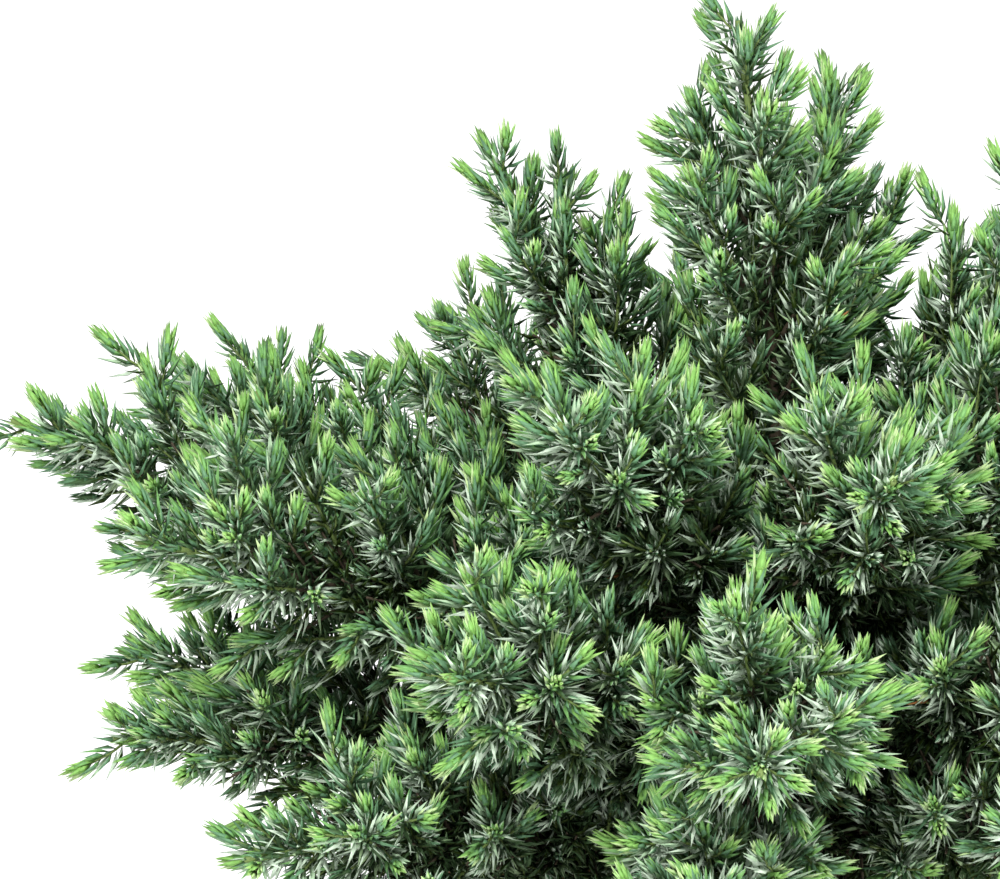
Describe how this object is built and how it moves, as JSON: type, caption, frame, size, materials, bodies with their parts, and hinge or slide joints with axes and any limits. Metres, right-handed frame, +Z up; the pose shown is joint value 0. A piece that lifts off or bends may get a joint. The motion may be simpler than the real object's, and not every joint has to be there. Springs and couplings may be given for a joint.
{
  "type": "potted juniper",
  "caption": "Dense blue-green needled juniper shrub with layered upswept boughs, growing in a plain round clay pot.",
  "frame": {"origin": "middle of the pot's flat underside", "axes": "+Z up along the pot's axis, the crown's side that the picture shows faces -Y, its left is -X"},
  "size_m": [0.4062, 0.3862, 0.4353],
  "materials": {
    "clay": "unglazed, matte",
    "compost": "moist crumbly compost with bark chips",
    "bark": "thin rough brown bark",
    "needles": "waxy blue-green needles with lime tips"
  },
  "bodies": {
    "root": {"bough_low_back": "bark", "bough_low_front": "bark", "bough_low_front_left": "bark", "bough_low_front_right": "bark", "bough_low_left": "bark", "bough_low_left_back": "bark", "bough_low_left_front": "bark", "bough_low_right": "bark", "bough_low_right_back": "bark", "bough_low_right_front": "bark", "bough_middle_back": "bark", "bough_middle_back_left": "bark", "bough_middle_front": "bark", "bough_middle_front_left": "bark", "bough_middle_front_right": "bark", "bough_middle_left": "bark", "bough_middle_left_back": "bark", "bough_middle_left_front": "bark", "bough_middle_right": "bark", "bough_middle_right_back": "bark", "bough_middle_right_front": "bark", "bough_upper_back": "bark", "bough_upper_front": "bark", "bough_upper_front_left": "bark", "bough_upper_left": "bark", "bough_upper_right": "bark", "bough_upper_right_front": "bark", "compost": "compost", "foliage_low_back": "needles", "foliage_low_front": "needles", "foliage_low_front_left": "needles", "foliage_low_front_right": "needles", "foliage_low_left": "needles", "foliage_low_left_back": "needles", "foliage_low_left_front": "needles", "foliage_low_right": "needles", "foliage_low_right_back": "needles", "foliage_low_right_front": "needles", "foliage_middle_back": "needles", "foliage_middle_back_left": "needles", "foliage_middle_front": "needles", "foliage_middle_front_left": "needles", "foliage_middle_front_right": "needles", "foliage_middle_left": "needles", "foliage_middle_left_back": "needles", "foliage_middle_left_front": "needles", "foliage_middle_right": "needles", "foliage_middle_right_back": "needles", "foliage_middle_right_front": "needles", "foliage_upper_back": "needles", "foliage_upper_front": "needles", "foliage_upper_front_left": "needles", "foliage_upper_left": "needles", "foliage_upper_right": "needles", "foliage_upper_right_front": "needles", "foliage_upper_top": "needles", "pot": "clay", "trunk": "bark"}
  },
  "joints": []
}
